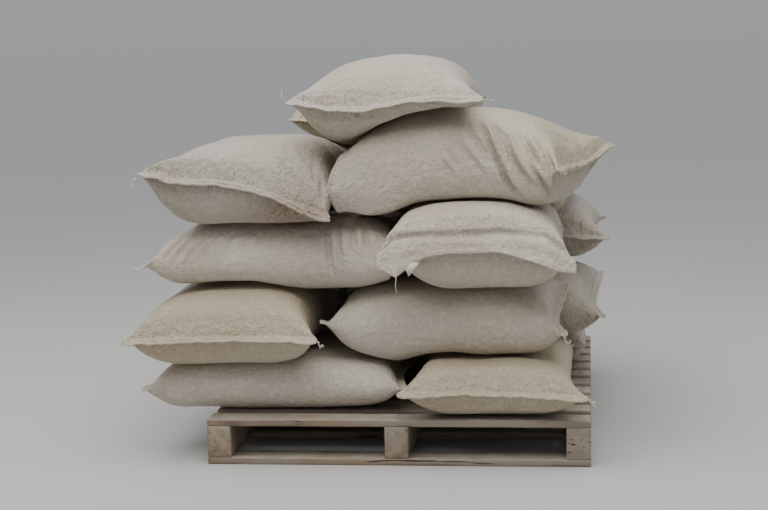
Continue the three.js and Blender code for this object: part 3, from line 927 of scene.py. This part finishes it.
def add_threads(name, net, parts):
    add_stitches(net, parts)
    rng = np.random.default_rng(seed_of(name) + 11)
    for end, far, reach in TAILS.get(name, ()):
        row = net[-1 - GROOVE if end else GROOVE]
        add_tail(row[len(row) // 2 if far else 0], reach, rng, parts)
    if name == LOWER_RIGHT:
        add_cord(HANGING_THREAD, HANGING_RADIUS, parts)
        add_scrap(net, parts)


# Materials


# The width of a woven tape, and colours as red, green, blue and alpha.
TAPE = 0.0028
CLOTHS = {"woven_sack": (0.585, 0.530, 0.450, 1), "yellowed_sack": (0.535, 0.465, 0.350, 1)}
WORN = (0.92, 0.895, 0.85)
YELLOWED = (0.55, 0.48, 0.345, 1)
# Dirt brown for the stains, also laid on as painted shade at one sack's end.
DIRT_AND_PAINTED_SHADE = (0.22, 0.155, 0.10, 1)
DUST = (0.43, 0.37, 0.30, 1)
# Painted shade: the dark colour laid into the troughs of the creases and ripples.
PAINTED_CREASE_SHADE = (0.24, 0.20, 0.16, 1)
THREAD = (0.66, 0.62, 0.54, 1)
WOOD = (0.36, 0.285, 0.20, 1)
BROWN_WOOD = (0.225, 0.17, 0.115, 1)
DARK_FIBRES = (0.175, 0.135, 0.095, 1)
GREY_WOOD = (0.31, 0.285, 0.25, 1)
KNOTS = (0.115, 0.075, 0.045, 1)
SPLITS = (0.05, 0.038, 0.028, 1)
WOOD_DUST = (0.44, 0.40, 0.34, 1)
NAILS = (0.11, 0.085, 0.07, 1)


def fill(tree, made, inputs):
    """Sets the inputs of a shader node, each to a value or by a link from another node's output."""
    for key, value in inputs.items():
        if isinstance(value, bpy.types.NodeSocket):
            tree.links.new(value, made.inputs[key])
        else:
            made.inputs[key].default_value = value


def node(tree, kind, inputs={}, output=0, **settings):
    made = tree.nodes.new("ShaderNode" + kind)
    for key, value in settings.items():
        setattr(made, key, value)
    fill(tree, made, inputs)
    return made.outputs[output]


def new_material(name):
    material = bpy.data.materials.new(name)
    material.use_nodes = True
    tree = material.node_tree
    return material, tree, tree.nodes["Principled BSDF"]


def maths(tree, operation, a, b=0.0):
    return node(tree, "Math", {0: a, 1: b}, operation=operation)


def times(tree, a, b):
    return maths(tree, "MULTIPLY", a, b)


def layered(tree, colour, layers):
    """A colour with others over it, each by its share."""
    for share, over in layers:
        inputs = {"Factor": share, 6: colour, 7: over}
        colour = node(tree, "Mix", inputs, 2, data_type="RGBA")
    return colour


def scaled(tree, vector, scale):
    return node(tree, "VectorMath", {0: vector, 1: scale}, operation="MULTIPLY")


def toned(tree, colour, tone):
    return node(tree, "VectorMath", {0: colour, "Scale": tone}, operation="SCALE")


def noise(tree, vector, scale, detail=2.0, rough=0.5):
    if isinstance(scale, tuple):
        vector, scale = scaled(tree, vector, scale), 1.0
    return node(tree, "TexNoise", {"Vector": vector, "Scale": scale, "Detail": detail, "Roughness": rough})


def ranged(tree, value, low, high, to_low=0.0, to_high=1.0):
    inputs = {"Value": value, "From Min": low, "From Max": high, "To Min": to_low, "To Max": to_high}
    return node(tree, "MapRange", inputs)


def attribute(tree, name, output="Fac"):
    return node(tree, "Attribute", output=output, attribute_name=name)


def bump(tree, height, strength, distance, **below):
    return node(tree, "Bump", {"Height": height, "Strength": strength, "Distance": distance, **below})


def cloth_material(name, base):
    material, tree, shader = new_material(name)
    cloth = node(tree, "UVMap", uv_map="Cloth")
    place = node(tree, "TexCoord", output="Object")
    slack, thread = attribute(tree, "slack"), attribute(tree, "thread")

    phase = scaled(tree, cloth, (pi / TAPE,) * 3)
    weave = times(tree, *(maths(tree, "SINE", node(tree, "SeparateXYZ", {0: phase}, k)) for k in (0, 1)))
    lengthways = noise(tree, cloth, (330, 9, 1), 3.0)
    crossways = noise(tree, cloth, (9, 330, 1), 3.0)
    streaks = maths(tree, "ADD", lengthways, crossways)
    grain = noise(tree, place, 150, 3.0, 0.65)
    crumple = noise(tree, place, 52, 4.0, 0.65)
    lines = maths(tree, "ABSOLUTE", maths(tree, "SUBTRACT", crumple, 0.5))
    pleats = noise(tree, cloth, (105, 12, 1), 2.0, 0.55)
    patches = noise(tree, place, 5.5, 4.0, 0.6)
    clouds = noise(tree, place, 1.9, 3.0, 0.55)

    worn = (*(part * share for part, share in zip(base, WORN)), 1)
    colour = layered(tree, base, (
        (ranged(tree, clouds, 0.42, 0.62), worn),
        (attribute(tree, "yellow"), YELLOWED),
        (ranged(tree, patches, 0.52, 0.74, 0.0, 0.28), DUST),
    ))
    tone = attribute(tree, "tone")
    for value, low, high, dark, pale in (
        (streaks, 0.7, 1.3, 0.94, 1.06), (grain, 0.3, 0.7, 0.95, 1.05),
        # The crumple entry paints the crumple's ridges lighter and its hollows darker: painted highlight
        # and painted shade.
        (lines, 0.0, 0.09, 0.88, 1.0), (crumple, 0.35, 0.65, 0.94, 1.06),
    ):
        tone = times(tree, tone, ranged(tree, value, low, high, dark, pale))
    speckle = ranged(tree, noise(tree, place, 120, 3.0, 0.7), 0.40, 0.62, 0.35, 1.0)
    colour = layered(tree, toned(tree, colour, tone), (
        # Painted shade in the troughs of the creases and ripples.
        (times(tree, attribute(tree, "painted_crease_shade"), 0.4), PAINTED_CREASE_SHADE),
        # The stains in dirt brown, one of them painted shade.
        (times(tree, attribute(tree, "stain_and_painted_shade"), speckle), DIRT_AND_PAINTED_SHADE),
        (thread, THREAD),
    ))

    plain = maths(tree, "SUBTRACT", 1.0, thread)
    crumpled = times(tree, ranged(tree, slack, 0, 1, 0.75, 1.0), plain)
    normal = bump(tree, weave, times(tree, plain, 0.22), 0.0007)
    normal = bump(tree, crumple, crumpled, 0.014, Normal=normal)
    normal = bump(tree, pleats, attribute(tree, "gather"), 0.010, Normal=normal)
    normal = bump(tree, grain, ranged(tree, slack, 0, 1, 0.35, 0.6), 0.0035, Normal=normal)
    shine = {"Roughness": 0.5, "Specular IOR Level": 0.45}
    fill(tree, shader, {"Base Color": colour, "Normal": normal, **shine})
    return material


def wood_material():
    material, tree, shader = new_material("pallet_wood")
    grain, nail = attribute(tree, "grain", "Vector"), attribute(tree, "nail")
    place = node(tree, "TexCoord", output="Object")
    up = node(tree, "SeparateXYZ", {0: node(tree, "NewGeometry", output="Normal")}, 2)
    bend = noise(tree, grain, (2.2, 9, 9))
    shift = scaled(tree, node(tree, "CombineXYZ", {1: bend}), (0, 0.035, 0))
    bent = node(tree, "VectorMath", {0: grain, 1: shift}, operation="ADD")
    fibres = noise(tree, bent, (5, 260, 260), 4.0, 0.6)
    bands = noise(tree, bent, (1.4, 46, 46), 3.0, 0.55)
    splits = noise(tree, bent, (1.1, 120, 60))
    split = ranged(tree, splits, 0.335, 0.30)
    knots = node(tree, "TexVoronoi", {"Vector": scaled(tree, grain, (2.6, 11, 11)), "Scale": 1.0})
    clouds = noise(tree, place, 3.2, 3.0)
    dust = ranged(tree, noise(tree, place, 14, 4.0, 0.6), 0.35, 0.62, 0.25, 0.85)
    colour = layered(tree, WOOD, (
        (ranged(tree, bands, 0.35, 0.65), BROWN_WOOD),
        (ranged(tree, fibres, 0.35, 0.68, 0.0, 0.55), DARK_FIBRES),
        (ranged(tree, clouds, 0.40, 0.62, 0.0, 0.55), GREY_WOOD),
        (ranged(tree, knots, 0.16, 0.05), KNOTS),
        (split, SPLITS),
        (times(tree, ranged(tree, up, 0.4, 0.95), dust), WOOD_DUST),
    ))
    colour = layered(tree, toned(tree, colour, attribute(tree, "tone")), ((nail, NAILS),))
    normal = bump(tree, fibres, 0.45, 0.0016)
    normal = bump(tree, bands, 0.35, 0.0030, Normal=normal)
    normal = bump(tree, split, 0.8, -0.0025, Normal=normal)
    shine = {"Roughness": ranged(tree, nail, 0, 1, 0.78, 0.45), "Specular IOR Level": 0.25}
    fill(tree, shader, {"Base Color": colour, "Normal": normal, **shine})
    return material


# Pallet


# The step between a board's rings, the points between a ring's corners, and the places of its wear.
BOARD_STEP = 0.03
SIDE_POINTS = (7, 2)
WEAR_PLACES = 24
BOARD_END = 0.003
END_INSET = 0.0025

# The nail heads: two over each stringer.
NAIL_HEAD = 0.0045
NAIL_SIDES = 10
NAIL_X = (-0.5625, 0, 0.5625)
NAIL_Y = (-0.028, 0.028)
NAIL_HEIGHT = 0.0006


def rounded_section(a, b, radii):
    """Points round a rectangle of half sizes a and b, with a radius for each of its corners."""
    arcs = []
    for k, (x, y) in enumerate(((1, 1), (-1, 1), (-1, -1), (1, -1))):
        r = radii[k]
        angles = np.radians(90 * k + np.array([0, 45, 90]))
        arcs.append(np.column_stack([x * (a - r) + r * np.cos(angles), y * (b - r) + r * np.sin(angles)]))
    points = []
    for k, arc in enumerate(arcs):
        shares = np.linspace(0, 1, SIDE_POINTS[k % 2] + 2)[1:-1, None]
        points += [arc, arc[-1] * (1 - shares) + arcs[(k + 1) % 4][0] * shares]
    return np.vstack(points)


def add_disc(at, up, radius, parts):
    """A nail's head: a thin round plate that lies on a face."""
    n = NAIL_SIDES
    angles = (np.arange(n) * 2 * pi / n)[:, None]
    side = np.array([1.0, 0, 0])
    ring = np.cos(angles) * side + np.sin(angles) * np.cross(up, side)
    low = np.array(at) + radius * ring - 0.001 * np.array(up)
    high = np.array(at) + 0.85 * radius * ring + NAIL_HEIGHT * np.array(up)
    faces = [(k, (k + 1) % n, n + (k + 1) % n, n + k) for k in range(n)]
    parts.append((np.vstack([low, high]), faces + [tuple(range(n, 2 * n))]))


def add_board(name, material):
    low, high = BOXES[name]
    size, centre = high - low, (low + high) / 2
    thin, wide, axis = np.argsort(size)
    length = size[axis]
    rng = np.random.default_rng(seed_of(name))
    inner = np.linspace(0.02, length - 0.02, int(length / BOARD_STEP))
    along = np.hstack([[0, BOARD_END], inner, [length - BOARD_END, length]])
    places = np.linspace(0, length, WEAR_PLACES)
    wear = [np.interp(along, places, 0.0022 + 0.0035 * rng.random(WEAR_PLACES) ** 2) for _ in range(4)]
    for edge in wear:
        for _ in range(rng.integers(1, 4)):
            where = rng.uniform(0, length)
            edge += rng.uniform(0.002, 0.006) * bell((along - where) / rng.uniform(0.012, 0.05))
    cup = np.interp(along, places, 0.0007 * rng.random(WEAR_PLACES))
    rings = []
    for i in range(len(along)):
        inset = END_INSET if i in (0, len(along) - 1) else 0.0
        radii = [min(edge[i], 0.45 * size[thin]) for edge in wear]
        section = rounded_section(size[wide] / 2 - inset, size[thin] / 2 - inset, radii)
        section[:, 1] -= np.sign(section[:, 1]) * cup[i] * (1 - (2 * section[:, 0] / size[wide]) ** 2)
        ring = np.empty((len(section), 3))
        ring[:, axis] = low[axis] + along[i]
        ring[:, [wide, thin]] = centre[[wide, thin]] + section
        rings.append(ring)
    faces = tube_faces(len(rings), len(rings[0]))
    if np.cross(np.eye(3)[wide], np.eye(3)[thin])[axis] < 0:
        faces = [face[::-1] for face in faces]
    parts = []
    if name.startswith(("deck", "base")):
        up = 1 if name.startswith("deck") else -1
        for x in NAIL_X:
            for shift in NAIL_Y:
                spot = [x + rng.uniform(-0.012, 0.012), centre[1] + shift + rng.uniform(-0.006, 0.006), 0]
                spot[2] = centre[2] + up * (size[2] / 2 - NAIL_HEIGHT)
                add_disc(spot, (0, 0, up), NAIL_HEAD, parts)
    rings = np.vstack(rings)
    mesh, points = joined_mesh(name, rings, faces, parts)
    grain = points[:, [axis, wide, thin]] - [low[axis], centre[wide], centre[thin]]
    set_values(mesh, "grain", grain + rng.uniform(5, 40, 3), "FLOAT_VECTOR", "vector")
    set_values(mesh, "tone", np.full(len(points), rng.uniform(0.84, 1.12)))
    set_values(mesh, "nail", np.arange(len(points)) >= len(rings))
    mesh.materials.append(material)
    obj = add_object("worn_" + name, mesh)
    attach(obj, "root")
    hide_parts(name)


# Sacks


# Stains, one of which is painted shade, and yellowed parts, on the side that faces the front: place (x, z),
# reach (x, z), strength.
STAINS_AND_PAINTED_SHADE = {
    UPPER_LEFT: (((-0.31, 0.795), (0.15, 0.055), 1.25), ((-0.25, 0.86), (0.06, 0.05), 0.4)),
    # This brown patch on the sack's right end is painted shade, where the end turns down and away from the
    # light.
    UPPER_RIGHT: (((0.63, 0.886), (0.03, 0.045), 0.9),),
    TOP: (((-0.103, 1.083), (0.008, 0.008), 1.0), ((-0.058, 1.082), (0.007, 0.007), 1.0)),
}
YELLOWED_SACKS = {"sack_1_right_front", "sack_2_left_front", "sack_4_right_middle", "sack_top_back"}
YELLOW_PARTS = {UPPER_RIGHT: (((0.56, 1.00), (0.26, 0.20), 1.0),)}

# How pale some sacks are. The others have a tone between these two.
TONES = {
    TOP: 0.95, UPPER_LEFT: 0.82, LOWER_LEFT: 1.05, LOWER_RIGHT: 1.02,
    "sack_2_right_front": 0.93, "sack_3_right_back": 0.9, "sack_2_right_middle": 0.9,
}
OTHER_TONES = (0.95, 1.03)


def spots(net, normal, marks):
    total = np.zeros(net.shape[:2])
    for (x, z), (reach_x, reach_z), strength in marks:
        away = ((net[..., 0] - x) / reach_x) ** 2 + ((net[..., 2] - z) / reach_z) ** 2
        total = np.maximum(total, strength * np.exp(-away) * np.clip(1 - 3 * normal[..., 1], 0, 1))
    return total


def add_sacks():
    materials = {slot: cloth_material(slot, base) for slot, base in CLOTHS.items()}
    for name in SACKS:
        net, values = make_skin(name)
        normal = net_normals(net)
        # Stains, and one brown patch of painted shade.
        values["stain_and_painted_shade"] = spots(net, normal, STAINS_AND_PAINTED_SHADE.get(name, ()))
        values["yellow"] = spots(net, normal, YELLOW_PARTS.get(name, ()))
        tone = np.random.default_rng(seed_of(name)).uniform(*OTHER_TONES)
        values["tone"] = np.full(net.shape[:2], TONES.get(name, tone))
        slot = "yellowed_sack" if name in YELLOWED_SACKS else "woven_sack"
        parts = []
        add_threads(name, net, parts)
        obj = skin_mesh(name.replace("sack", "filled_sack"), net, values, parts)
        obj.data.materials.append(materials[slot])
        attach(obj, "root")
        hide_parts(name)


add_camera()
add_light()
add_floor()
read_solids()
add_sacks()
wood = wood_material()
for name in BOARDS:
    add_board(name, wood)
